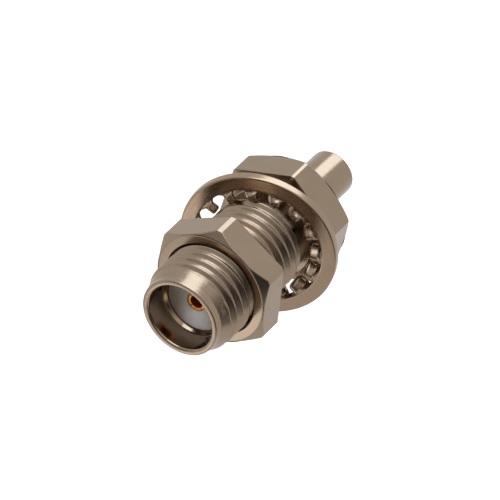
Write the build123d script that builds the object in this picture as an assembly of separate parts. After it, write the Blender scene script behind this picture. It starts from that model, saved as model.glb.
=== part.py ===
"""SMA panel jack, held by its panel seat, in millimetres.

Each piece is drawn along +Z, with Z = 0 on the flange's front face and +Z towards the mating end.
to_row() then lays it down: the mating end points to -Y and the cable end to +Y.
"""

import math
import os

from build123d import *

# Clearances between pieces
NUT_GAP = 0.03  # radial, nut bore on the thread's outside
SEAT_GAP = 0.02  # faces and walls of pieces that are held in one another
FERRULE_GAP = 0.03  # radial, ferrule on the stem's root spigot
FERRULE_END_GAP = 0.08  # ferrule's front end to the flange

# Thread, 1/4-36
THREAD_R = 3.175  # outside of its crest
THREAD_PITCH = 0.7056
THREAD_DEPTH = 0.34
THREAD_CREST = 0.07  # width of its flat crest
THREAD_RUN_IN = 0.216  # how far before the thread's start its groove begins
CUTTER_PROUD = 0.05  # how far the groove's cutter stands out of the crest

# Mating end
BARREL_LENGTH = 11.43  # flange face to the mating end
PILOT_R = 2.745
PILOT_LENGTH = 0.72
PILOT_EDGE = 0.12
SOCKET_R = 2.31
SOCKET_DEPTH = 1.93  # mating end to the reference plane
SOCKET_CHAMFER = 0.12

# Panel end of the barrel
RELIEF_R = 2.54
RELIEF_LENGTH = 0.91
SHOULDER_R = THREAD_R
SHOULDER_LENGTH = 0.82
SHOULDER_FLAT = 2.75  # axis to the flat that keys the jack in a D-shaped hole

# Hexagons
HEX_AF = 7.92
FLANGE_T = 2.13
FLANGE_EDGE_FLAT = 0.20  # width of the narrow flats that break the flange's long edges
FLANGE_ROLL = 13.9
FLANGE_RING_R = 3.92  # where the rear chamfer meets the flange's back face
FLANGE_CHAMFER_ANGLE = 32.0
NUT_T = 2.12
NUT_EDGE_FLAT = 0.34
NUT_BACK = 5.71  # flange face to the nut's back face
NUT_ROLL = 23.9
NUT_RING_R = 3.90  # where the front chamfer meets the nut's front face
NUT_CHAMFER_ANGLE = 36.0
NUT_MOUTH = 0.12  # countersink of the nut's bore

# Cable end
STEM_ROOT_R = 1.30
STEM_ROOT_LENGTH = 0.90
STEM_R = 1.05
STEM_LENGTH = 4.30
STEM_BORE_R = 0.80
CHAMBER_R = 1.25  # room round the soldered joint, behind the insulator
CHAMBER_LENGTH = 1.30
STEM_TIP_CHAMFER = 0.15
FERRULE_R = 1.58
FERRULE_LENGTH = 4.75
FERRULE_EDGE = 0.10

# Insulator and centre contact
INSULATOR_R = 2.05
INSULATOR_LENGTH = 9.90
CONTACT_R = 0.635
CONTACT_RECESS = 0.05
CONTACT_LENGTH = 10.60
CONTACT_HOLE_R = 0.455
CONTACT_HOLE_DEPTH = 3.20
CONTACT_MOUTH = 0.06
SLOT_COUNT = 4
SLOT_WIDTH = 0.13
SLOT_LENGTH = 2.30
COLLAR_R = 0.95
COLLAR_FRONT = 7.60  # reference plane back to the collar's front
COLLAR_LENGTH = 0.70
CUP_R = 0.30
CUP_DEPTH = 1.50

# Lock washer
WASHER_R = 5.22
WASHER_T = 0.62
RIM_INNER_R = 4.22
TOOTH_COUNT = 15
TOOTH_TIP_R = 3.57
TOOTH_ROOT_WIDTH = 1.25
TOOTH_TIP_WIDTH = 1.10
TOOTH_TWIST = -54.0
TOOTH_OVERLAP = 0.30  # how far a tooth's root runs into the rim
TOOTH_NECK = 0.06  # how far from the rim a tooth begins to twist
WASHER_PHASE = 2.2
WASHER_TILT = 14.0
WASHER_FRONT = 2.18  # flange face to the centre of the washer's front face
WASHER_DROP = 0.17  # the loose washer hangs this far below the axis

# Stations along the axis
REFERENCE_PLANE = BARREL_LENGTH - SOCKET_DEPTH
THREAD_START = SHOULDER_LENGTH + RELIEF_LENGTH
THREAD_END = BARREL_LENGTH - PILOT_LENGTH
GROOVE_START = THREAD_START - THREAD_RUN_IN
INSULATOR_BACK = REFERENCE_PLANE - INSULATOR_LENGTH
INSULATOR_SEAT = INSULATOR_BACK - SEAT_GAP
CONTACT_FRONT = REFERENCE_PLANE - CONTACT_RECESS
COLLAR_TOP = REFERENCE_PLANE - COLLAR_FRONT
STEM_END = -FLANGE_T - STEM_LENGTH


def to_row(piece):
    """Turn a piece from +Z along the jack to -Y along the jack."""
    return Rot(90, 0, 0) * piece


def turned(points):
    """Revolve an outline of (radius, height) points about the jack's axis."""
    return revolve(Plane.XZ * make_face(Polyline(*points, close=True)), Axis.Z)


def hole(radius, low, high):
    """A round cutter between two heights."""
    return Pos(0, 0, low) * extrude(Circle(radius), high - low)


def hexagon(height, roll, edge_flat):
    """A hexagonal bar whose long edges are broken by narrow flats."""
    outline = RegularPolygon(HEX_AF / 2, 6, major_radius=False, rotation=roll)
    outline = chamfer(outline.vertices(), edge_flat / 2 / math.sin(math.radians(60)))
    return extrude(outline, height)


def corner_cone(ring_r, angle, height):
    """Everything inside the chamfer that cuts a hexagon's corners at its far face."""
    drop = (HEX_AF - ring_r) * math.tan(math.radians(angle))
    return turned([(0, 0), (HEX_AF, 0), (HEX_AF, height - drop), (ring_r, height), (0, height)])


def thread_turn():
    """The first turn of the thread's V groove, right-handed, as a cutter."""
    root_r, proud_r = THREAD_R - THREAD_DEPTH, THREAD_R + CUTTER_PROUD
    half = (THREAD_PITCH - THREAD_CREST) / 2 * (proud_r - root_r) / THREAD_DEPTH
    section = make_face(Polyline((root_r, 0), (proud_r, -half), (proud_r, half), close=True))
    path = Helix(THREAD_PITCH, THREAD_PITCH, THREAD_R, center=(0, 0, GROOVE_START))
    return sweep(Pos(0, 0, GROOVE_START) * (Plane.XZ * section), path=path, is_frenet=True)


def cut_thread(bar):
    """Cut the thread one turn after another, out past its end."""
    turn_count = math.ceil((THREAD_END - GROOVE_START) / THREAD_PITCH + 0.5)
    groove = thread_turn()
    for turn in range(turn_count):
        bar -= Pos(0, 0, turn * THREAD_PITCH) * groove
    return bar


def build_shell():
    lead = THREAD_R - PILOT_R
    undercut = THREAD_R - RELIEF_R
    outside = turned([
        (0, 0),
        (SHOULDER_R, 0),
        (SHOULDER_R, SHOULDER_LENGTH),
        (RELIEF_R, SHOULDER_LENGTH),
        (RELIEF_R, THREAD_START),
        (THREAD_R, THREAD_START + undercut / 2),
        (THREAD_R, THREAD_END - lead / 2),
        (PILOT_R, THREAD_END),
        (PILOT_R, BARREL_LENGTH - PILOT_EDGE),
        (PILOT_R - PILOT_EDGE, BARREL_LENGTH),
        (0, BARREL_LENGTH),
    ])
    key_side = Pos(0, -SHOULDER_FLAT - THREAD_R, 0) * Box(
        4 * THREAD_R, 2 * THREAD_R, 2 * SHOULDER_LENGTH)
    outside = cut_thread(outside - Rot(0, 0, FLANGE_ROLL) * key_side)
    flange = hexagon(FLANGE_T, FLANGE_ROLL, FLANGE_EDGE_FLAT)
    flange &= corner_cone(FLANGE_RING_R, FLANGE_CHAMFER_ANGLE, FLANGE_T)
    outside += mirror(flange, Plane.XY)
    outside += turned([
        (0, -FLANGE_T / 2),
        (STEM_ROOT_R, -FLANGE_T / 2),
        (STEM_ROOT_R, -FLANGE_T - STEM_ROOT_LENGTH),
        (STEM_R, -FLANGE_T - STEM_ROOT_LENGTH),
        (STEM_R, STEM_END + STEM_TIP_CHAMFER),
        (STEM_R - STEM_TIP_CHAMFER, STEM_END),
        (0, STEM_END),
    ])
    bores = hole(SOCKET_R, REFERENCE_PLANE, BARREL_LENGTH)
    bores += hole(INSULATOR_R + SEAT_GAP, INSULATOR_SEAT, REFERENCE_PLANE)
    bores += hole(CHAMBER_R, INSULATOR_SEAT - CHAMBER_LENGTH, INSULATOR_SEAT)
    bores += hole(STEM_BORE_R, STEM_END, INSULATOR_SEAT)
    bores += turned([
        (0, BARREL_LENGTH - SOCKET_CHAMFER),
        (SOCKET_R, BARREL_LENGTH - SOCKET_CHAMFER),
        (SOCKET_R + SOCKET_CHAMFER, BARREL_LENGTH),
        (0, BARREL_LENGTH),
    ])
    return outside - bores


def build_insulator():
    body = hole(INSULATOR_R, INSULATOR_BACK, REFERENCE_PLANE)
    body -= hole(CONTACT_R + SEAT_GAP, INSULATOR_BACK, REFERENCE_PLANE)
    return body - hole(COLLAR_R + SEAT_GAP, INSULATOR_BACK, COLLAR_TOP + SEAT_GAP)


def build_contact():
    back = CONTACT_FRONT - CONTACT_LENGTH
    body = hole(CONTACT_R, back, CONTACT_FRONT) + hole(COLLAR_R, COLLAR_TOP - COLLAR_LENGTH, COLLAR_TOP)
    body -= hole(CONTACT_HOLE_R, CONTACT_FRONT - CONTACT_HOLE_DEPTH, CONTACT_FRONT)
    body -= turned([
        (0, CONTACT_FRONT - CONTACT_MOUTH),
        (CONTACT_HOLE_R, CONTACT_FRONT - CONTACT_MOUTH),
        (CONTACT_HOLE_R + CONTACT_MOUTH, CONTACT_FRONT),
        (0, CONTACT_FRONT),
    ])
    body -= hole(CUP_R, back, back + CUP_DEPTH)
    slot = Pos(CONTACT_R, 0, CONTACT_FRONT - SLOT_LENGTH / 2) * Box(
        2 * CONTACT_R, SLOT_WIDTH, SLOT_LENGTH)
    for turn in range(SLOT_COUNT):
        body -= Rot(0, 0, 45 + turn * 360 / SLOT_COUNT) * slot
    return body


def build_ferrule():
    top = -FLANGE_T - FERRULE_END_GAP
    low = top - FERRULE_LENGTH
    inner = STEM_ROOT_R + FERRULE_GAP
    return turned([
        (inner, low),
        (FERRULE_R - FERRULE_EDGE, low),
        (FERRULE_R, low + FERRULE_EDGE),
        (FERRULE_R, top - FERRULE_EDGE),
        (FERRULE_R - FERRULE_EDGE, top),
        (inner, top),
    ])


def build_nut():
    bore_r = THREAD_R + NUT_GAP
    blank = hexagon(NUT_T, NUT_ROLL, NUT_EDGE_FLAT)
    blank &= corner_cone(NUT_RING_R, NUT_CHAMFER_ANGLE, NUT_T)
    bore = turned([
        (0, 0),
        (bore_r + NUT_MOUTH / 2, 0),
        (bore_r, NUT_MOUTH / 2),
        (bore_r, NUT_T - NUT_MOUTH),
        (bore_r + NUT_MOUTH, NUT_T),
        (0, NUT_T),
    ])
    return Pos(0, 0, NUT_BACK) * (blank - bore)


def tooth_section(radius, width, twist):
    """A tooth's cross-section at a distance from the washer's centre."""
    return Pos(radius, 0, 0) * Rot(twist, 0, 0) * Rot(0, 90, 0) * Rectangle(WASHER_T, width)


def washer_tooth():
    """One tooth along +X, flat where it leaves the rim and twisted at its tip."""
    return loft([
        tooth_section(RIM_INNER_R + TOOTH_OVERLAP, TOOTH_ROOT_WIDTH, 0),
        tooth_section(RIM_INNER_R - TOOTH_NECK, TOOTH_ROOT_WIDTH, 0),
        tooth_section(TOOTH_TIP_R, TOOTH_TIP_WIDTH, TOOTH_TWIST),
    ], ruled=True)


def build_washer():
    ring = extrude(Circle(WASHER_R) - Circle(RIM_INNER_R), WASHER_T / 2, both=True)
    tooth = washer_tooth()
    for index in range(TOOTH_COUNT):
        ring += Rot(0, 0, WASHER_PHASE + index * 360 / TOOTH_COUNT) * tooth
    seated = Pos(0, -WASHER_DROP, WASHER_FRONT) * Rot(0, WASHER_TILT, 0) * Pos(0, 0, -WASHER_T / 2)
    return seated * ring


PIECES = {
    "shell": build_shell,
    "dielectric": build_insulator,
    "centre_contact": build_contact,
    "crimp_ferrule": build_ferrule,
    "panel_nut": build_nut,
    "lock_washer": build_washer,
}

os.makedirs("parts", exist_ok=True)
for node, build in PIECES.items():
    export_step(to_row(build()), f"parts/{node}.step")
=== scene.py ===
"""Looks of the threaded panel jack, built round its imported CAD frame.

The jack lies along Y with its mating end at -Y. Stations are counted in millimetres along
the jack from the flange's front face, towards the mating end, as in the CAD.
"""

import math

import bpy
import numpy as np
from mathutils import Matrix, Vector


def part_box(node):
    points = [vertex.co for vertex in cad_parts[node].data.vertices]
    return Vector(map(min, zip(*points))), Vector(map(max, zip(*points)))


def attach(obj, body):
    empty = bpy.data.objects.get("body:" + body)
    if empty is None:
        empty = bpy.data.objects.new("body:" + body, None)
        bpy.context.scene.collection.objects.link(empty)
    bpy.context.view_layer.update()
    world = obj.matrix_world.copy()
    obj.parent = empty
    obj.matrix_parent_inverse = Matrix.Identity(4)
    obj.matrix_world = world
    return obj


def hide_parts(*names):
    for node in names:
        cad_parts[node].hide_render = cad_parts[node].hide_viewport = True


MM = 0.001

# Clearances between pieces
NUT_GAP = 0.03  # radial, nut bore on the thread's outside
SEAT_GAP = 0.02  # faces and walls of pieces that are held in one another
FERRULE_GAP = 0.03  # radial, ferrule on the stem's root

# Thread, 1/4-36
THREAD_R = 3.175
THREAD_PITCH = 0.7056
THREAD_DEPTH = 0.30
CREST_POWER = 0.85  # 1 is a plain wave, less makes its crests narrower
THREAD_PHASE = -0.25  # station of a crest at angle zero
ROWS_PER_PITCH = 24
RUNOUT_SLOPE = 2.0  # how steeply the thread rises out of its relief

# Mating end
PILOT_LENGTH = 0.72
PILOT_R = 2.745
LEAD_LENGTH = 0.19  # how far the lead-in cone runs out over the pilot
LEAD_SLOPE = 0.50
LEAD_REACH = 1.0  # how far before the thread's end the cone begins to count
LIP_ROUND = 0.11
SOCKET_R = 2.31
SOCKET_DEPTH = 1.93
SOCKET_CHAMFER = 0.12
SOCKET_FOOT = 0.30  # height of the cone at the foot of the socket
SOCKET_FOOT_WIDTH = 0.24

# Panel end of the barrel
RELIEF_R = 2.54
RELIEF_LENGTH = 0.91
SHOULDER_LENGTH = 0.82
SHOULDER_FLAT = 2.75  # axis to the flat that keys the jack in its hole
FLAT_LEAST_COSINE = 0.2  # the flat is only worked out on its own side of the shoulder

# Hexagons
HEX_AF = 7.92
HEX_EDGE_FLAT = 0.34  # width of the flat that breaks the nut's long edges
FLANGE_EDGE_FLAT = 0.20
FLANGE_T = 2.13
FLANGE_ROLL = 13.9
FLANGE_RING_R = 3.92
FLANGE_CHAMFER = 32.0
NUT_ROLL = 23.9
NUT_RING_R = 3.90
NUT_CHAMFER = 36.0
NUT_BORE_R = THREAD_R + NUT_GAP
NUT_MOUTH = 0.12
NUT_BACK_MOUTH = 0.15
NUT_BACK_WIDTH = 0.17  # how far the rear mouth opens at the nut's back face
NUT_THREAD_DEPTH = 0.12
NUT_THREAD_INSET = 0.02

# Cable end
STEM_ROOT_R = 1.30
STEM_ROOT_LENGTH = 0.90
STEM_R = 1.05
STEM_BORE_R = 0.80
CHAMBER_R = 1.25
CHAMBER_LENGTH = 1.30
FERRULE_ROUND = 0.12

# Insulator and contact
INSULATOR_ROUND = 0.04
CONTACT_R = 0.635
CONTACT_HOLE_R = 0.43
CONTACT_HOLE_DEPTH = 3.2
CORE_HOLE_R = 0.02
CORE_ROUND = 0.03
SLOT_COUNT = 4
SLOT_WIDTH = 0.08
SLOT_LENGTH = 2.3
SLOT_TURN = 45.0
FINGER_ROUND = 0.04
FINGER_SEAM = 0.3  # how far above its root a finger's outline begins and ends
FINGER_COLUMNS = 12

# Washer
WASHER_R = 5.22
WASHER_T = 0.62
RIM_INNER_R = 4.22
RIM_ROUND = 0.12
RIM_ROUND_FACES = 4
TOOTH_COUNT = 15
TOOTH_TIP_R = 3.42
TOOTH_ROOT_WIDTH = 1.25
TOOTH_ROOT_DEPTHS = (0.25, 0.125)  # how far inside the rim a tooth's sunk sections lie
TOOTH_ROOT_THIN = 0.8  # how thick a tooth's root is inside the rim, for the washer's thickness of 1
TOOTH_TIP_WIDTH = 1.10
TOOTH_TWIST = -54.0
TOOTH_BEND = 0.30  # how far from the rim a tooth has its full twist
TOOTH_ROUND = 0.18  # rounding of a tooth's tip
TOOTH_TIP_BENDS = (20, 40, 60, 75, 88)  # degrees round a tooth's tip at which its sections lie
TOOTH_FLARE = 0.10  # hollow corner where a tooth leaves the rim
TOOTH_SOFTNESS = 0.60  # 1 is an elliptical cross-section, 0 a sharp rectangle
TOOTH_ROWS = 12
TOOTH_COLUMNS = 32
WASHER_PHASE = 2.2
WASHER_TILT = 14.0
WASHER_FRONT = 2.18
WASHER_DROP = 0.17

# Skins
TURN_STEP = 2.0  # degrees between neighbouring faces round the jack
TUBE_STEP = 3.0
CORE_STEP = 6.0
ANGLE_DIGITS = 4  # angles that agree to so many digits of a degree are one
CORNER_STEPS = (0.5, 0.85, 0.97, 1.03, 1.15)  # angles beside a hexagon's corner, as shares of its flat
SHARP = math.radians(40)  # edges sharper than this stay crisp
CORNER_FACES = 3
CORNER_SHARE = 0.45  # most of a side that a rounded corner may take
SOFT_EDGE = 0.05
SOFT_INSET = SOFT_EDGE * 0.8
SOFT_LIFT = SOFT_EDGE * 0.3
HOLD = 0.02  # a row of faces this wide keeps the shading of a soft edge off the flat beside it

# Metal finishes
NICKEL = (0.320, 0.240, 0.172)
WARM_NICKEL = (0.340, 0.243, 0.170)
GOLD = (0.80, 0.36, 0.10)
FINISHES = {  # colour, roughness, strength of the turning marks and of the dents
    "nickel": (NICKEL, 0.20, 0.08, 0.0),
    "turned_nickel": (NICKEL, 0.24, 0.40, 0.24),
    "drawn_nickel": (NICKEL, 0.20, 0.20, 0.0),
    "stamped_nickel": (WARM_NICKEL, 0.24, 0.04, 0.0),
    "bored_nickel": (NICKEL, 0.13, 0.05, 0.0),
    "gold": (GOLD, 0.42, 0.10, 0.0),
}
NOISE_SPAN = (0.3, 0.7)  # where nearly all of a noise's values lie
NOISE_DETAIL = 2.0
TINT_SPACING = 1.6
TINT_DARK = 0.93
TINT_PALE = 1.06
ROUGH_SPREAD = (0.75, 1.25)
MARK_SPACING = 0.09
MARK_DETAIL = 3.0
MARK_DEPTH = 0.01
DENT_SPACING = 0.45
DENT_DEPTH = 0.06

# Insulator's plastic
# darkened brown base: painted shade of the socket's recess, in place of the plastic's own near-white
PTFE_SHADE_PAINTED = (0.40, 0.345, 0.285)
# near-white of the plastic, shown only in a painted pool of light on its lower side
PTFE_LIGHT_PAINTED = (0.86, 0.86, 0.93)
PTFE_ROUGH = 0.35
PTFE_MILKINESS = 0.15
PTFE_SCATTER = 0.3  # how far light spreads in it
GRAIN_SPACING = 0.5
GRAIN_SPAN = (0.75, 1.0)
LIGHT_POOL_PLACE = (0.1, -9.5, -1.5)  # middle of the painted pool of light on the insulator's face
LIGHT_POOL_R = 1.75

# Camera, from the fit to the photograph
CAMERA_AZIMUTH = 31.98
CAMERA_ELEVATION = 36.80
CAMERA_DISTANCE = 0.3495
CAMERA_LENS = 394.0
CAMERA_SENSOR = 36.0
CAMERA_AIM = (-0.00090, -0.00165, -0.00123)
CAMERA_CLIP = 0.01

# Floor and world
WHITE = (1.0, 1.0, 1.0, 1.0)
BLACK = (0.0, 0.0, 0.0, 1.0)
FLOOR_Z = -0.020
FLOOR_REACH = 0.6
FLOOR_TONE = (0.86, 0.785, 0.70)
FLOOR_ROUGH = 0.9
FLOOR_GLOW = 0.52
WORLD_LIGHT = 0.18
WORLD_SHOWN = 0.88

# Dark card that glows in graded tones and that the metal mirrors, a painted reflection of dark surroundings;
# in degrees to the right of the mating end and above the horizon
FLAG_R = 0.25
FLAG_FROM = -45.0
FLAG_TO = 85.0
FLAG_HIGH = 42.0
FLAG_COLUMNS = 24
FLAG_COLOUR = (0.02, 0.02, 0.02, 1.0)
# glow of the painted reflection, by degrees above the horizon
FLAG_PAINTED_REFLECTION_TONES = ((-37, 0.45), (-12, 0.05), (4, 0.04), (20, 0.27), (42, 0.78))
APRON_R = 0.030  # the card runs on over the floor, in front of the jack's right side
APRON_FROM = 10.0
APRON_LIFT = 0.0005

# Glowing disc just above the floor, a painted reflection of a bright patch of floor that the faces at the
# mating end mirror
BOUNCE_PLACE = (-0.0105, -0.0280)
BOUNCE_R = 0.0100
BOUNCE_CORE = 0.5  # share of its radius that is evenly bright
BOUNCE_COLUMNS = 48
# glow of the painted reflection at the disc's middle
BOUNCE_PAINTED_GLOW = 1.9

# Lamps
KEY_PLACE = (-0.010, 0.060, 0.190)
KEY_AIM = (-0.010, 0.0, 0.0)
KEY_SIZE = (0.150, 0.46)
KEY_POWER = 0.60
KEY_COLOUR = (0.74, 0.87, 1.0)
FILL_PLACE = (-0.09, -0.15, 0.11)
FILL_AIM = (0.0, -0.010, 0.0)
FILL_SIZE = (0.06, 0.06)
FILL_POWER = 0.10
FILL_COLOUR = (1.0, 0.97, 0.93)


def turns(extra=(), step=TURN_STEP):
    """Angles in radians round the jack, with extra ones in degrees where an edge needs them."""
    base = np.arange(0.0, 360.0, step)
    more = np.mod(np.array(extra, float), 360.0)
    return np.radians(np.unique(np.round(np.concatenate([base, more]), ANGLE_DIGITS)))


def hex_radius(angle, roll, edge_flat):
    """Distance from the axis to a hexagon whose corners are broken by narrow flats."""
    half = HEX_AF / 2
    from_corner = np.mod(angle - math.radians(roll) + math.pi / 6, math.pi / 3) - math.pi / 6
    from_flat = math.pi / 6 - np.abs(from_corner)
    flat = half / np.cos(from_flat)
    cut = half / math.cos(math.pi / 6) - edge_flat / 2 * math.tan(math.pi / 6)
    return np.minimum(flat, cut / np.cos(from_corner))


def corner_turns(roll, edge_flat):
    """Angles at which a hexagon's corner flats begin and end, with close neighbours that keep them crisp."""
    half_turn = math.degrees(math.asin(edge_flat / 2 / (HEX_AF / 2 / math.cos(math.pi / 6))))
    steps = [side * half_turn * step for side in (-1, 1) for step in CORNER_STEPS]
    return [roll + 60.0 * k + step for k in range(6) for step in steps]


def softened(points, radius, faces=CORNER_FACES, hold=0.0):
    """Round the inner corners of an open (radius, station) outline, and hold the flats beside them."""
    made = [points[0]]
    for before, at, after in zip(points, points[1:], points[2:]):
        corner = np.array(at, float)
        back, on = np.array(before, float) - corner, np.array(after, float) - corner
        back_length, on_length = np.linalg.norm(back), np.linalg.norm(on)
        back, on = back / back_length, on / on_length
        cut = min(radius, CORNER_SHARE * back_length, CORNER_SHARE * on_length)
        start, end = corner + back * cut, corner + on * cut
        if hold:
            made.append(tuple(corner + back * (cut + hold)))
        for k in range(faces + 1):
            t = k / faces
            made.append(tuple((1 - t) ** 2 * start + 2 * t * (1 - t) * corner + t ** 2 * end))
        if hold:
            made.append(tuple(corner + on * (cut + hold)))
    made.append(points[-1])
    return made


def shaded(mesh):
    mesh.shade_smooth()
    mesh.set_sharp_from_angle(angle=SHARP)


def finish_mesh(name, verts, faces):
    mesh = bpy.data.meshes.new(name)
    mesh.from_pydata(verts, [], faces)
    mesh.validate()
    shaded(mesh)
    piece = bpy.data.objects.new(name, mesh)
    bpy.context.collection.objects.link(piece)
    return piece


def united(piece, other):
    """Unite two closed pieces into one skin."""
    union = piece.modifiers.new("union", "BOOLEAN")
    union.operation = "UNION"
    union.solver = "EXACT"
    union.object = other
    made = bpy.data.meshes.new_from_object(piece.evaluated_get(bpy.context.evaluated_depsgraph_get()))
    piece.modifiers.clear()
    piece.data = made
    shaded(made)
    bpy.data.objects.remove(other)
    return piece


def to_row(x, y, station):
    """Lay points down along the jack, in metres."""
    return np.stack([x, -station, y], axis=-1) * MM


def grid_faces(rows, columns, close_rows=True, close_columns=True):
    faces = []
    for i in range(rows if close_rows else rows - 1):
        up = (i + 1) % rows
        for j in range(columns if close_columns else columns - 1):
            side = (j + 1) % columns
            faces.append((i * columns + j, i * columns + side, up * columns + side, up * columns + j))
    return faces


def polar_verts(rings, angle):
    radius = np.array([np.broadcast_to(r, angle.shape) for r, s in rings], float)
    station = np.array([np.broadcast_to(s, angle.shape) for r, s in rings], float)
    return to_row(radius * np.cos(angle), radius * np.sin(angle), station).reshape(-1, 3)


def turned_piece(name, rings, angle):
    """A closed ring-shaped piece: each ring is a radius and a station, plain or one for each angle."""
    return finish_mesh(name, polar_verts(rings, angle), grid_faces(len(rings), len(angle)))


def sector_piece(name, rings, angle):
    """Part of a turned piece, closed by a flat face at each end of its sweep."""
    rows, columns = len(rings), len(angle)
    faces = grid_faces(rows, columns, close_columns=False)
    faces.append(tuple(i * columns for i in range(rows)))
    faces.append(tuple(i * columns + columns - 1 for i in reversed(range(rows))))
    return finish_mesh(name, polar_verts(rings, angle), faces)


def thread_radius(angle, station, outer, depth):
    """A right-handed thread's radius, with its crests and grooves worn round."""
    turn = (station - THREAD_PHASE) / THREAD_PITCH - angle / (2 * math.pi)
    return outer - depth * ((1 - np.cos(2 * math.pi * turn)) / 2) ** CREST_POWER


def thread_rings(angle, low, high, outer, depth, cap):
    """Rings of a thread between two stations, each held within its limits by cap."""
    count = int(round((high - low) / THREAD_PITCH * ROWS_PER_PITCH))
    rings = []
    for station in np.linspace(low, high, count):
        radius = thread_radius(angle, station, outer, depth)
        rings.append((cap(radius, station), station))
    return rings


def chamfer_rings(angle, roll, edge_flat, ring_r, slope, face, far):
    """Hexagon wall from its far edge to the chamfer, then the chamfer to its flat ring."""
    wall = hex_radius(angle, roll, edge_flat)
    way = 1 if face > far else -1
    inner = wall - SOFT_INSET

    def on_cone(radius):
        return face - way * (radius - ring_r) * math.tan(math.radians(slope))

    edge = on_cone(wall)
    return [
        (wall - SOFT_EDGE, np.full_like(wall, far)),
        (wall - SOFT_LIFT, np.full_like(wall, far + way * SOFT_LIFT)),
        (wall, np.full_like(wall, far + way * SOFT_EDGE)),
        (wall, np.full_like(wall, far + way * (SOFT_EDGE + HOLD))),
        (wall, edge - way * (SOFT_EDGE + HOLD)),
        (wall, edge - way * SOFT_EDGE),
        (inner, on_cone(inner)),
        (inner - HOLD, on_cone(inner - HOLD)),
        (ring_r + SOFT_EDGE + HOLD, on_cone(np.full_like(wall, ring_r + SOFT_EDGE + HOLD))),
        (ring_r + SOFT_EDGE, on_cone(np.full_like(wall, ring_r + SOFT_EDGE))),
        (ring_r - SOFT_EDGE, np.full_like(wall, face)),
        (ring_r - SOFT_EDGE - HOLD, np.full_like(wall, face)),
    ]


def build_shell():
    low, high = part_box("shell")
    front, back = -low.y / MM, -high.y / MM
    thread_end = front - PILOT_LENGTH
    thread_start = SHOULDER_LENGTH + RELIEF_LENGTH
    plane = front - SOCKET_DEPTH
    seat = -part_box("dielectric")[1].y / MM - SEAT_GAP
    flat_angle = FLANGE_ROLL - 90.0
    flat_half = math.degrees(math.acos(SHOULDER_FLAT / THREAD_R))
    extra = corner_turns(FLANGE_ROLL, FLANGE_EDGE_FLAT) + [flat_angle - flat_half, flat_angle + flat_half]
    angle = turns(extra)
    keyed = SHOULDER_FLAT / np.maximum(np.cos(angle - math.radians(flat_angle)), FLAT_LEAST_COSINE)
    shoulder = np.minimum(THREAD_R, keyed)

    def cap(radius, station):
        lead = PILOT_R + (thread_end + LEAD_LENGTH - station) * LEAD_SLOPE
        runout = RELIEF_R + RUNOUT_SLOPE * (station - thread_start)
        if station > thread_end - LEAD_REACH:
            return np.maximum(np.minimum(radius, lead), PILOT_R)
        return np.minimum(radius, max(runout, RELIEF_R))

    stem = softened([
        (STEM_BORE_R, back),
        (STEM_R, back),
        (STEM_R, -FLANGE_T - STEM_ROOT_LENGTH),
        (STEM_ROOT_R, -FLANGE_T - STEM_ROOT_LENGTH),
        (STEM_ROOT_R, -FLANGE_T),
    ], SOFT_EDGE)
    flange = chamfer_rings(
        angle, FLANGE_ROLL, FLANGE_EDGE_FLAT, FLANGE_RING_R, FLANGE_CHAMFER, face=-FLANGE_T, far=0.0)
    key = [
        (shoulder, 0.0),
        (shoulder, SHOULDER_LENGTH - SOFT_EDGE),
        (shoulder - SOFT_EDGE, SHOULDER_LENGTH),
        (RELIEF_R, SHOULDER_LENGTH),
    ]
    thread = thread_rings(angle, thread_start, thread_end + LEAD_LENGTH, THREAD_R, THREAD_DEPTH, cap)
    nose = softened([
        (PILOT_R, thread_end + LEAD_LENGTH),
        (PILOT_R, front),
        (SOCKET_R + SOCKET_CHAMFER, front),
        (SOCKET_R, front - SOCKET_CHAMFER),
        (SOCKET_R, plane + SOCKET_FOOT),
        (SOCKET_R - SOCKET_FOOT_WIDTH, plane),
        (SOCKET_R - SOCKET_FOOT_WIDTH, seat),
    ], LIP_ROUND)
    chamber = [
        (CHAMBER_R, seat),
        (CHAMBER_R, seat - CHAMBER_LENGTH),
        (STEM_BORE_R, seat - CHAMBER_LENGTH),
    ]
    return turned_piece("threaded_shell", stem + flange[::-1] + key + thread + nose[1:] + chamber, angle)


def build_nut():
    low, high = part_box("panel_nut")
    front, back = -low.y / MM, -high.y / MM
    angle = turns(corner_turns(NUT_ROLL, HEX_EDGE_FLAT))
    outside = chamfer_rings(
        angle, NUT_ROLL, HEX_EDGE_FLAT, NUT_RING_R, NUT_CHAMFER, face=front, far=back)

    def cap(radius, station):
        mouths = max(0.0, station - (front - NUT_MOUTH), back + NUT_BACK_MOUTH - station)
        return np.maximum(radius, NUT_BORE_R + mouths)

    thread = thread_rings(angle, back + NUT_THREAD_INSET, front - NUT_THREAD_INSET,
                          NUT_BORE_R + NUT_THREAD_DEPTH, NUT_THREAD_DEPTH, cap)
    rear, mouth = (NUT_BORE_R + NUT_BACK_WIDTH, back), (NUT_BORE_R + NUT_MOUTH, front)
    return turned_piece("hex_nut", [rear] + outside + [mouth] + thread[::-1], angle)


def build_tube(name, box, inner, rounding):
    """A plain tube with rounded edges that fills a solid's box."""
    low, high = box
    top, end = -low.y / MM, -high.y / MM
    outer = high.x / MM
    middle = (top + end) / 2
    loop = softened([
        (inner, middle),
        (inner, end),
        (outer, end),
        (outer, top),
        (inner, top),
        (inner, middle),
    ], rounding)
    return turned_piece(name, loop[:-1], turns(step=TUBE_STEP))


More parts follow.
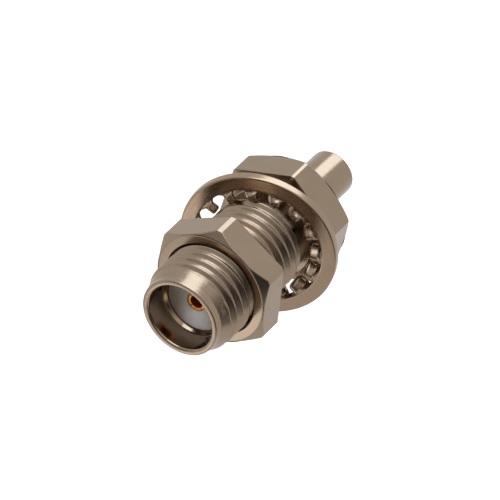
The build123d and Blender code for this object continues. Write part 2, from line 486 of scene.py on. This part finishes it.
def build_contact():
    """The contact's core, then the fingers that its slots part at the mating end."""
    low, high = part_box("centre_contact")
    top, end = -low.y / MM, -high.y / MM
    joint = top - SLOT_LENGTH
    core = softened([
        (CONTACT_HOLE_R, joint),
        (CONTACT_HOLE_R, top - CONTACT_HOLE_DEPTH),
        (CORE_HOLE_R, top - CONTACT_HOLE_DEPTH),
        (CORE_HOLE_R, end),
        (CONTACT_R, end),
        (CONTACT_R, joint),
    ], CORE_ROUND)
    pieces = [turned_piece("contact_core", core, turns(step=CORE_STEP))]
    finger = softened([
        (CONTACT_HOLE_R, joint + FINGER_SEAM),
        (CONTACT_HOLE_R, joint),
        (CONTACT_R, joint),
        (CONTACT_R, top),
        (CONTACT_HOLE_R, top),
        (CONTACT_HOLE_R, joint + FINGER_SEAM),
    ], FINGER_ROUND)
    half_gap = math.asin(SLOT_WIDTH / 2 / CONTACT_R)
    for index in range(SLOT_COUNT):
        start = math.radians(SLOT_TURN) + index * 2 * math.pi / SLOT_COUNT + half_gap
        sweep = np.linspace(start, start + 2 * math.pi / SLOT_COUNT - 2 * half_gap, FINGER_COLUMNS)
        pieces.append(sector_piece(f"contact_finger_{index}", finger[:-1], sweep))
    return pieces


def washer_place(points):
    """Tilt flat washer points (radius plane x, y and height) and set them on the barrel."""
    tilt = math.radians(WASHER_TILT)
    x, y, h = points[:, 0], points[:, 1], points[:, 2] - WASHER_T / 2
    across = x * math.cos(tilt) + h * math.sin(tilt)
    along = -x * math.sin(tilt) + h * math.cos(tilt)
    return to_row(across, y - WASHER_DROP, along + WASHER_FRONT)


def tooth_sections():
    """Radius, half width and half thickness along a tooth, from inside the rim to its rounded tip."""
    for depth in TOOTH_ROOT_DEPTHS:
        yield RIM_INNER_R + depth, TOOTH_ROOT_WIDTH / 2, WASHER_T / 2 * TOOTH_ROOT_THIN
    taper = (TOOTH_ROOT_WIDTH - TOOTH_TIP_WIDTH) / 2 / (RIM_INNER_R - TOOTH_TIP_R)
    for radius in np.linspace(RIM_INNER_R, TOOTH_TIP_R + TOOTH_ROUND, TOOTH_ROWS):
        away = max(0.0, RIM_INNER_R - radius)
        hollow = max(0.0, TOOTH_FLARE - away)
        flare = TOOTH_FLARE - math.sqrt(TOOTH_FLARE ** 2 - hollow ** 2)
        yield radius, TOOTH_ROOT_WIDTH / 2 - taper * away + flare, WASHER_T / 2
    for bend in np.radians(TOOTH_TIP_BENDS):
        inset = TOOTH_ROUND * (1 - math.cos(bend))
        radius = TOOTH_TIP_R + TOOTH_ROUND * (1 - math.sin(bend))
        yield radius, TOOTH_TIP_WIDTH / 2 - inset, WASHER_T / 2 - inset / 2


def tooth_verts(turn):
    """A tooth's cross-sections, twisting as they leave the rim."""
    around = np.linspace(0, 2 * math.pi, TOOTH_COLUMNS, endpoint=False)
    flat = np.sign(np.cos(around)) * np.abs(np.cos(around)) ** TOOTH_SOFTNESS
    thick = np.sign(np.sin(around)) * np.abs(np.sin(around)) ** TOOTH_SOFTNESS
    verts = []
    for radius, half_width, half_thick in tooth_sections():
        way = np.clip((RIM_INNER_R - radius) / TOOTH_BEND, 0.0, 1.0)
        twist = math.radians(TOOTH_TWIST) * way * way * (3 - 2 * way)
        side, lift = flat * half_width, thick * half_thick
        across = side * math.cos(twist) - lift * math.sin(twist)
        up = side * math.sin(twist) + lift * math.cos(twist)
        x = radius * math.cos(turn) - across * math.sin(turn)
        y = radius * math.sin(turn) + across * math.cos(turn)
        verts.append(np.stack([x, y, up], axis=-1))
    return np.array(verts)


def build_rim():
    rim = softened([
        (RIM_INNER_R, 0.0),
        (RIM_INNER_R, -WASHER_T / 2),
        (WASHER_R, -WASHER_T / 2),
        (WASHER_R, WASHER_T / 2),
        (RIM_INNER_R, WASHER_T / 2),
        (RIM_INNER_R, 0.0),
    ], RIM_ROUND, faces=RIM_ROUND_FACES, hold=HOLD)[:-1]
    angle = turns()
    radius = np.array([r for r, s in rim])[:, None]
    height = np.broadcast_to(np.array([s for r, s in rim])[:, None], (len(rim), len(angle)))
    ring = np.stack([radius * np.cos(angle), radius * np.sin(angle), height], axis=-1)
    return finish_mesh("tooth_washer", washer_place(ring.reshape(-1, 3)), grid_faces(len(rim), len(angle)))


def build_teeth():
    verts, faces = [], []
    for index in range(TOOTH_COUNT):
        sections = tooth_verts(math.radians(WASHER_PHASE + index * 360 / TOOTH_COUNT))
        base, (rows, columns) = len(verts), sections.shape[:2]
        verts += list(sections.reshape(-1, 3))
        faces += [tuple(base + v for v in f[::-1]) for f in grid_faces(rows, columns, close_rows=False)]
        faces.append(tuple(base + j for j in range(columns)))
        faces.append(tuple(base + (rows - 1) * columns + j for j in reversed(range(columns))))
    return finish_mesh("teeth", washer_place(np.array(verts)), faces)


def new_material(name):
    material = bpy.data.materials.new(name)
    material.use_nodes = True
    nodes, links = material.node_tree.nodes, material.node_tree.links
    return material, nodes, links, nodes["Principled BSDF"]


def vector_node(nodes, operation):
    made = nodes.new("ShaderNodeVectorMath")
    made.operation = operation
    return made


def object_place(nodes):
    return nodes.new("ShaderNodeTexCoord").outputs["Object"]


def turned_place(nodes, links, place):
    """Distance from the jack's axis and along it, which turning marks follow."""
    split = nodes.new("ShaderNodeSeparateXYZ")
    cross = nodes.new("ShaderNodeCombineXYZ")
    reach = vector_node(nodes, "LENGTH")
    made = nodes.new("ShaderNodeCombineXYZ")
    links.new(place, split.inputs[0])
    links.new(split.outputs["X"], cross.inputs["X"])
    links.new(split.outputs["Z"], cross.inputs["Z"])
    links.new(cross.outputs[0], reach.inputs[0])
    links.new(reach.outputs["Value"], made.inputs["X"])
    links.new(split.outputs["Y"], made.inputs["Y"])
    return made.outputs[0]


def noise(nodes, links, place, spacing, detail=NOISE_DETAIL):
    """Noise whose features lie about so many millimetres apart."""
    made = nodes.new("ShaderNodeTexNoise")
    made.inputs["Scale"].default_value = 1 / (spacing * MM)
    made.inputs["Detail"].default_value = detail
    links.new(place, made.inputs["Vector"])
    return made.outputs["Fac"]


def ranged(nodes, links, value, given, wanted, curve="LINEAR"):
    """Spread a value from one range over another."""
    span = nodes.new("ShaderNodeMapRange")
    span.interpolation_type = curve
    for socket, number in zip(("From Min", "From Max", "To Min", "To Max"), (*given, *wanted)):
        span.inputs[socket].default_value = number
    links.new(value, span.inputs["Value"])
    return span.outputs["Result"]


def combined(nodes, links, operation, first, second):
    made = nodes.new("ShaderNodeMath")
    made.operation = operation
    links.new(first, made.inputs[0])
    links.new(second, made.inputs[1])
    return made.outputs[0]


def tinted(nodes, links, factor, first, second):
    """A colour that wanders between two others."""
    mix = nodes.new("ShaderNodeMix")
    mix.data_type = "RGBA"
    mix.inputs["A"].default_value = (*first, 1.0)
    mix.inputs["B"].default_value = (*second, 1.0)
    links.new(factor, mix.inputs["Factor"])
    return mix.outputs["Result"]


def raised(nodes, links, height, strength, depth):
    """A bump of so many millimetres."""
    bump = nodes.new("ShaderNodeBump")
    bump.inputs["Strength"].default_value = strength
    bump.inputs["Distance"].default_value = depth * MM
    links.new(height, bump.inputs["Height"])
    return bump


def metal(name, colour, rough, marks, dents):
    """Plated metal: an uneven polish, a colour that wanders a little, fine turning marks and soft dents."""
    material, nodes, links, shader = new_material(name)
    shader.inputs["Metallic"].default_value = 1.0
    place = object_place(nodes)
    cloud = noise(nodes, links, place, TINT_SPACING)
    lines = noise(nodes, links, turned_place(nodes, links, place), MARK_SPACING, MARK_DETAIL)
    tint = tinted(nodes, links, cloud, [c * TINT_DARK for c in colour], [c * TINT_PALE for c in colour])
    links.new(tint, shader.inputs["Base Color"])
    polish = ranged(nodes, links, lines, NOISE_SPAN, [rough * spread for spread in ROUGH_SPREAD])
    links.new(polish, shader.inputs["Roughness"])
    bump = raised(nodes, links, lines, marks, MARK_DEPTH)
    if dents:
        worn = raised(nodes, links, noise(nodes, links, place, DENT_SPACING), dents, DENT_DEPTH)
        links.new(worn.outputs["Normal"], bump.inputs["Normal"])
    links.new(bump.outputs["Normal"], shader.inputs["Normal"])
    return material


def waxy(name, colour, pale):
    """Milky plastic whose base colour is painted shade, with a soft painted pool of paler light broken by a
    random grain.
    """
    material, nodes, links, shader = new_material(name)
    shader.inputs["Roughness"].default_value = PTFE_ROUGH
    shader.inputs["Subsurface Weight"].default_value = PTFE_MILKINESS
    shader.inputs["Subsurface Scale"].default_value = PTFE_SCATTER * MM
    place = object_place(nodes)
    away = vector_node(nodes, "DISTANCE")
    away.inputs[1].default_value = [v * MM for v in LIGHT_POOL_PLACE]
    links.new(place, away.inputs[0])
    fade = ranged(nodes, links, away.outputs["Value"], (0.0, LIGHT_POOL_R * MM), (1.0, 0.0), "SMOOTHSTEP")
    grain = ranged(nodes, links, noise(nodes, links, place, GRAIN_SPACING), NOISE_SPAN, GRAIN_SPAN)
    cloud = combined(nodes, links, "MULTIPLY", fade, grain)
    # the base colour is painted shade and the pale colour a painted pool of light
    links.new(tinted(nodes, links, cloud, colour, pale), shader.inputs["Base Color"])
    return material


def mirror_rays(nodes, links):
    """1 for rays that come off metal or through glass."""
    path = nodes.new("ShaderNodeLightPath")
    glossy, through = path.outputs["Is Glossy Ray"], path.outputs["Is Transmission Ray"]
    return combined(nodes, links, "MAXIMUM", glossy, through)


def chosen(nodes, links, rays, others_see, rays_see):
    """One shader for some rays and another for the rest."""
    mix = nodes.new("ShaderNodeMixShader")
    links.new(rays, mix.inputs[0])
    links.new(others_see, mix.inputs[1])
    links.new(rays_see, mix.inputs[2])
    return mix.outputs[0]


def build_floor():
    """A pale floor that looks nearly white to the camera, and gives metal the background to mirror."""
    reach = FLOOR_REACH
    corners = [(-reach, -reach), (reach, -reach), (reach, reach), (-reach, reach)]
    floor = finish_mesh("floor", [(x, y, FLOOR_Z) for x, y in corners], [(0, 1, 2, 3)])
    material, nodes, links, shader = new_material("pale_floor")
    shader.inputs["Base Color"].default_value = (*FLOOR_TONE, 1.0)
    shader.inputs["Roughness"].default_value = FLOOR_ROUGH
    shader.inputs["Emission Color"].default_value = WHITE
    glow = nodes.new("ShaderNodeMath")
    glow.operation = "MULTIPLY"
    glow.inputs[1].default_value = FLOOR_GLOW
    links.new(nodes.new("ShaderNodeLightPath").outputs["Is Camera Ray"], glow.inputs[0])
    links.new(glow.outputs[0], shader.inputs["Emission Strength"])
    mirrored = nodes.new("ShaderNodeEmission")
    mirrored.inputs["Color"].default_value = WHITE
    mirrored.inputs["Strength"].default_value = WORLD_SHOWN
    surface = chosen(nodes, links, mirror_rays(nodes, links), shader.outputs[0], mirrored.outputs[0])
    links.new(surface, nodes["Material Output"].inputs["Surface"])
    floor.data.materials.append(material)


def build_world():
    """Dim even light, which camera, metal and glass see as a pale background."""
    world = bpy.data.worlds.new("studio")
    bpy.context.scene.world = world
    world.use_nodes = True
    nodes, links = world.node_tree.nodes, world.node_tree.links
    light = nodes["Background"]
    shown = nodes.new("ShaderNodeBackground")
    for background, strength in ((light, WORLD_LIGHT), (shown, WORLD_SHOWN)):
        background.inputs["Color"].default_value = WHITE
        background.inputs["Strength"].default_value = strength
    camera_rays = nodes.new("ShaderNodeLightPath").outputs["Is Camera Ray"]
    shown_rays = combined(nodes, links, "MAXIMUM", camera_rays, mirror_rays(nodes, links))
    surface = chosen(nodes, links, shown_rays, light.outputs[0], shown.outputs[0])
    links.new(surface, nodes["World Output"].inputs["Surface"])


def glossy_only(piece):
    """Let only reflections see a card."""
    for kind in ("camera", "diffuse", "transmission", "shadow", "volume_scatter"):
        setattr(piece, f"visible_{kind}", False)


def curved_card(start, end, profile):
    """Corners and faces of a card swept about the vertical through the jack, in degrees from the front."""
    around = np.radians(np.linspace(start, end, FLAG_COLUMNS))
    verts = [(r * math.sin(a), -r * math.cos(a), z) for r, z in profile for a in around]
    return verts, grid_faces(len(profile), FLAG_COLUMNS, close_rows=False, close_columns=False)


def painted_reflection_tones(nodes, links):
    """The dark card's glow, the tones of a painted reflection, from near the floor to its top edge."""
    aim = vector_node(nodes, "NORMALIZE")
    split = nodes.new("ShaderNodeSeparateXYZ")
    tones = nodes.new("ShaderNodeValToRGB")
    stops = tones.color_ramp.elements
    given = len(stops)
    for index, (lift, tone) in enumerate(FLAG_PAINTED_REFLECTION_TONES):
        place = (math.sin(math.radians(lift)) + 1) / 2
        stop = stops[index] if index < given else stops.new(place)
        stop.position = place
        stop.color = (tone, tone, tone, 1.0)
    links.new(object_place(nodes), aim.inputs[0])
    links.new(aim.outputs[0], split.inputs[0])
    links.new(ranged(nodes, links, split.outputs["Z"], (-1.0, 1.0), (0.0, 1.0)), tones.inputs["Fac"])
    return tones.outputs["Color"]


def build_flag():
    """A dark curved card glowing in graded tones, a painted reflection that only reflections see, in front
    of the jack and to its right.
    """
    low = FLOOR_Z + APRON_LIFT
    high = FLAG_R * math.tan(math.radians(FLAG_HIGH))
    wall, wall_faces = curved_card(FLAG_FROM, FLAG_TO, [(FLAG_R, low), (FLAG_R, high)])
    apron, apron_faces = curved_card(APRON_FROM, FLAG_TO, [(APRON_R, low), (FLAG_R, low)])
    faces = wall_faces + [tuple(v + len(wall) for v in face) for face in apron_faces]
    flag = finish_mesh("flag", wall + apron, faces)
    material, nodes, links, shader = new_material("flag")
    shader.inputs["Base Color"].default_value = FLAG_COLOUR
    shader.inputs["Roughness"].default_value = 1.0
    shader.inputs["Emission Strength"].default_value = 1.0
    links.new(painted_reflection_tones(nodes, links), shader.inputs["Emission Color"])
    flag.data.materials.append(material)
    glossy_only(flag)


def build_bounce():
    """A round disc just above the floor that glows brightly, a painted reflection which only reflections
    see.
    """
    around = np.linspace(0, 2 * math.pi, BOUNCE_COLUMNS, endpoint=False)
    verts = [(BOUNCE_R * math.cos(a), BOUNCE_R * math.sin(a), 0.0) for a in around]
    disc = finish_mesh("bounce", verts, [tuple(range(len(around)))])
    disc.location = (*BOUNCE_PLACE, FLOOR_Z + APRON_LIFT)
    material, nodes, links, shader = new_material("bounce")
    shader.inputs["Base Color"].default_value = BLACK
    shader.inputs["Specular IOR Level"].default_value = 0.0
    shader.inputs["Emission Color"].default_value = WHITE
    reach = vector_node(nodes, "LENGTH")
    links.new(object_place(nodes), reach.inputs[0])
    glow = ranged(nodes, links, reach.outputs["Value"], (BOUNCE_R * BOUNCE_CORE, BOUNCE_R),
                  (BOUNCE_PAINTED_GLOW, WORLD_SHOWN), "SMOOTHSTEP")
    links.new(glow, shader.inputs["Emission Strength"])
    disc.data.materials.append(material)
    glossy_only(disc)


def lamp(name, place, aim, size, power, colour):
    data = bpy.data.lights.new(name, "AREA")
    data.shape = "RECTANGLE"
    data.size, data.size_y = size
    data.energy = power
    data.color = colour
    item = bpy.data.objects.new(name, data)
    bpy.context.collection.objects.link(item)
    item.location = place
    item.rotation_euler = Vector(np.array(aim) - np.array(place)).to_track_quat("-Z", "Y").to_euler()
    return item


def build_lamps():
    """Soft light from above, and a fill into the socket, from the left, that metal doesn't mirror."""
    fill = lamp("fill", FILL_PLACE, FILL_AIM, FILL_SIZE, FILL_POWER, FILL_COLOUR)
    fill.visible_glossy = False
    lamp("key", KEY_PLACE, KEY_AIM, KEY_SIZE, KEY_POWER, KEY_COLOUR)


def build_camera():
    data = bpy.data.cameras.new("camera")
    data.lens = CAMERA_LENS
    data.sensor_width = CAMERA_SENSOR
    data.clip_start = CAMERA_CLIP
    camera = bpy.data.objects.new("camera", data)
    bpy.context.collection.objects.link(camera)
    azimuth, elevation = math.radians(CAMERA_AZIMUTH), math.radians(CAMERA_ELEVATION)
    back = np.array([
        math.sin(azimuth) * math.cos(elevation),
        -math.cos(azimuth) * math.cos(elevation),
        math.sin(elevation)])
    camera.location = np.array(CAMERA_AIM) + back * CAMERA_DISTANCE
    camera.rotation_euler = (math.pi / 2 - elevation, 0.0, azimuth)
    bpy.context.scene.camera = camera


def dress(piece, material, body, slot, *nodes):
    """Give a piece its material and its body (slot is not used), and let it stand for the solids that it
    replaces.
    """
    piece.data.materials.clear()
    piece.data.materials.append(material)
    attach(piece, body)
    if nodes:
        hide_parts(*nodes)


def part_finishes(shell, cable_side, bores):
    """Give the shell's cable side and its bores finishes of their own."""
    shell.data.materials.append(cable_side)
    shell.data.materials.append(bores)
    bore_reach = (SOCKET_R + SOCKET_CHAMFER) * MM
    for face in shell.data.polygons:
        if face.center.y > 0:
            face.material_index = 1
        elif math.hypot(face.center.x, face.center.z) < bore_reach:
            face.material_index = 2


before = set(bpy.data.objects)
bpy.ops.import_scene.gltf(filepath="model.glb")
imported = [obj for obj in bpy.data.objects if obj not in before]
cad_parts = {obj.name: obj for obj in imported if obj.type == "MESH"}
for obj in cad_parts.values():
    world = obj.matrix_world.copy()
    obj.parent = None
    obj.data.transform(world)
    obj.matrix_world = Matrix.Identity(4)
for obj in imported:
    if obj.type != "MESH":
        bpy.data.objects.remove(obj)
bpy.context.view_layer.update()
bpy.context.scene.view_settings.view_transform = "Standard"
build_world()
build_floor()
build_camera()
build_flag()
build_bounce()
build_lamps()
finish = {name: metal(name, *values) for name, values in FINISHES.items()}
shell = build_shell()
dress(shell, finish["turned_nickel"], "jack", "nickel", "shell")
part_finishes(shell, finish["nickel"], finish["bored_nickel"])
insulator = build_tube("insulator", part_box("dielectric"), CONTACT_R + SEAT_GAP, INSULATOR_ROUND)
dress(insulator, waxy("ptfe", PTFE_SHADE_PAINTED, PTFE_LIGHT_PAINTED), "jack", "ptfe", "dielectric")
core, *fingers = build_contact()
dress(core, finish["gold"], "jack", "gold", "centre_contact")
for finger in fingers:
    dress(finger, finish["gold"], "jack", "gold")
ferrule = build_tube("ferrule_tube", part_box("crimp_ferrule"), STEM_ROOT_R + FERRULE_GAP, FERRULE_ROUND)
dress(ferrule, finish["drawn_nickel"], "ferrule", "nickel", "crimp_ferrule")
dress(build_nut(), finish["nickel"], "nut", "nickel", "panel_nut")
washer = united(build_rim(), build_teeth())
dress(washer, finish["stamped_nickel"], "washer", "nickel", "lock_washer")
